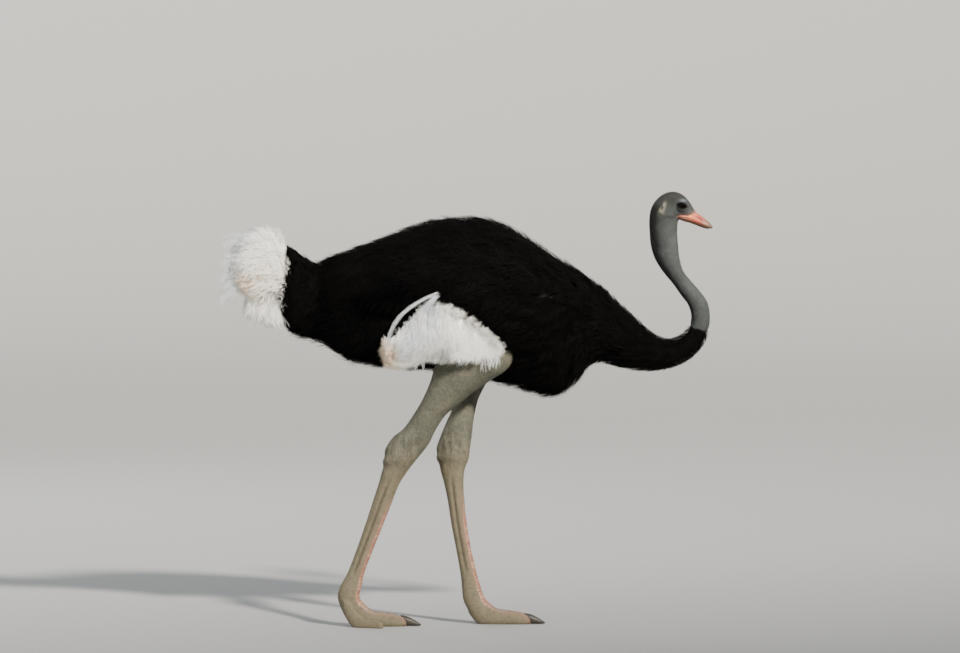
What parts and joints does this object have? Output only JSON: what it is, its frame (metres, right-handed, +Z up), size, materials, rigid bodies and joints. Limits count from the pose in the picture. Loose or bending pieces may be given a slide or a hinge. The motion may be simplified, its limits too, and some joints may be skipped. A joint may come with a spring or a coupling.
{
  "type": "life-size walking ostrich model",
  "caption": "Still, life-size male ostrich in mid stride, neck lowered and curved up to a level head, dark body with pale tail and wing plumes; stands freely on flat soles.",
  "frame": {"origin": "on the floor below the back, midway between the ends of the tail plumes and the bill, and midway between the wings", "axes": "+X forwards to the bill, +Y to the bird's left, +Z up"},
  "size_m": [1.6339, 0.6024, 1.4337],
  "materials": {
    "dark_plumage": "near-black loose feathers",
    "white_plumage": "soft off-white plumes",
    "grey_skin": "matt blue-grey skin",
    "bill_horn": "satin pink horn",
    "claw_horn": "satin dark horn",
    "eye_gloss": "wet, very dark brown"
  },
  "bodies": {
    "root": {"trunk": "dark_plumage", "neck_base": "dark_plumage", "neck_lower": "grey_skin", "neck_upper": "grey_skin", "head": "grey_skin", "bill_upper": "bill_horn", "bill_lower": "bill_horn", "tail_coverts": "dark_plumage", "tail_plumes": "white_plumage", "eye_right": "eye_gloss", "eye_left": "eye_gloss", "wing_right": "dark_plumage", "wing_left": "dark_plumage", "wing_plumes_right": "white_plumage", "wing_plumes_left": "white_plumage", "drumstick_right": "grey_skin", "drumstick_left": "grey_skin", "shank_right": "grey_skin", "shank_left": "grey_skin", "toe_big_right": "grey_skin", "toe_big_left": "grey_skin", "toe_small_right": "grey_skin", "toe_small_left": "grey_skin", "claw_right": "claw_horn", "claw_left": "claw_horn"}
  },
  "joints": []
}
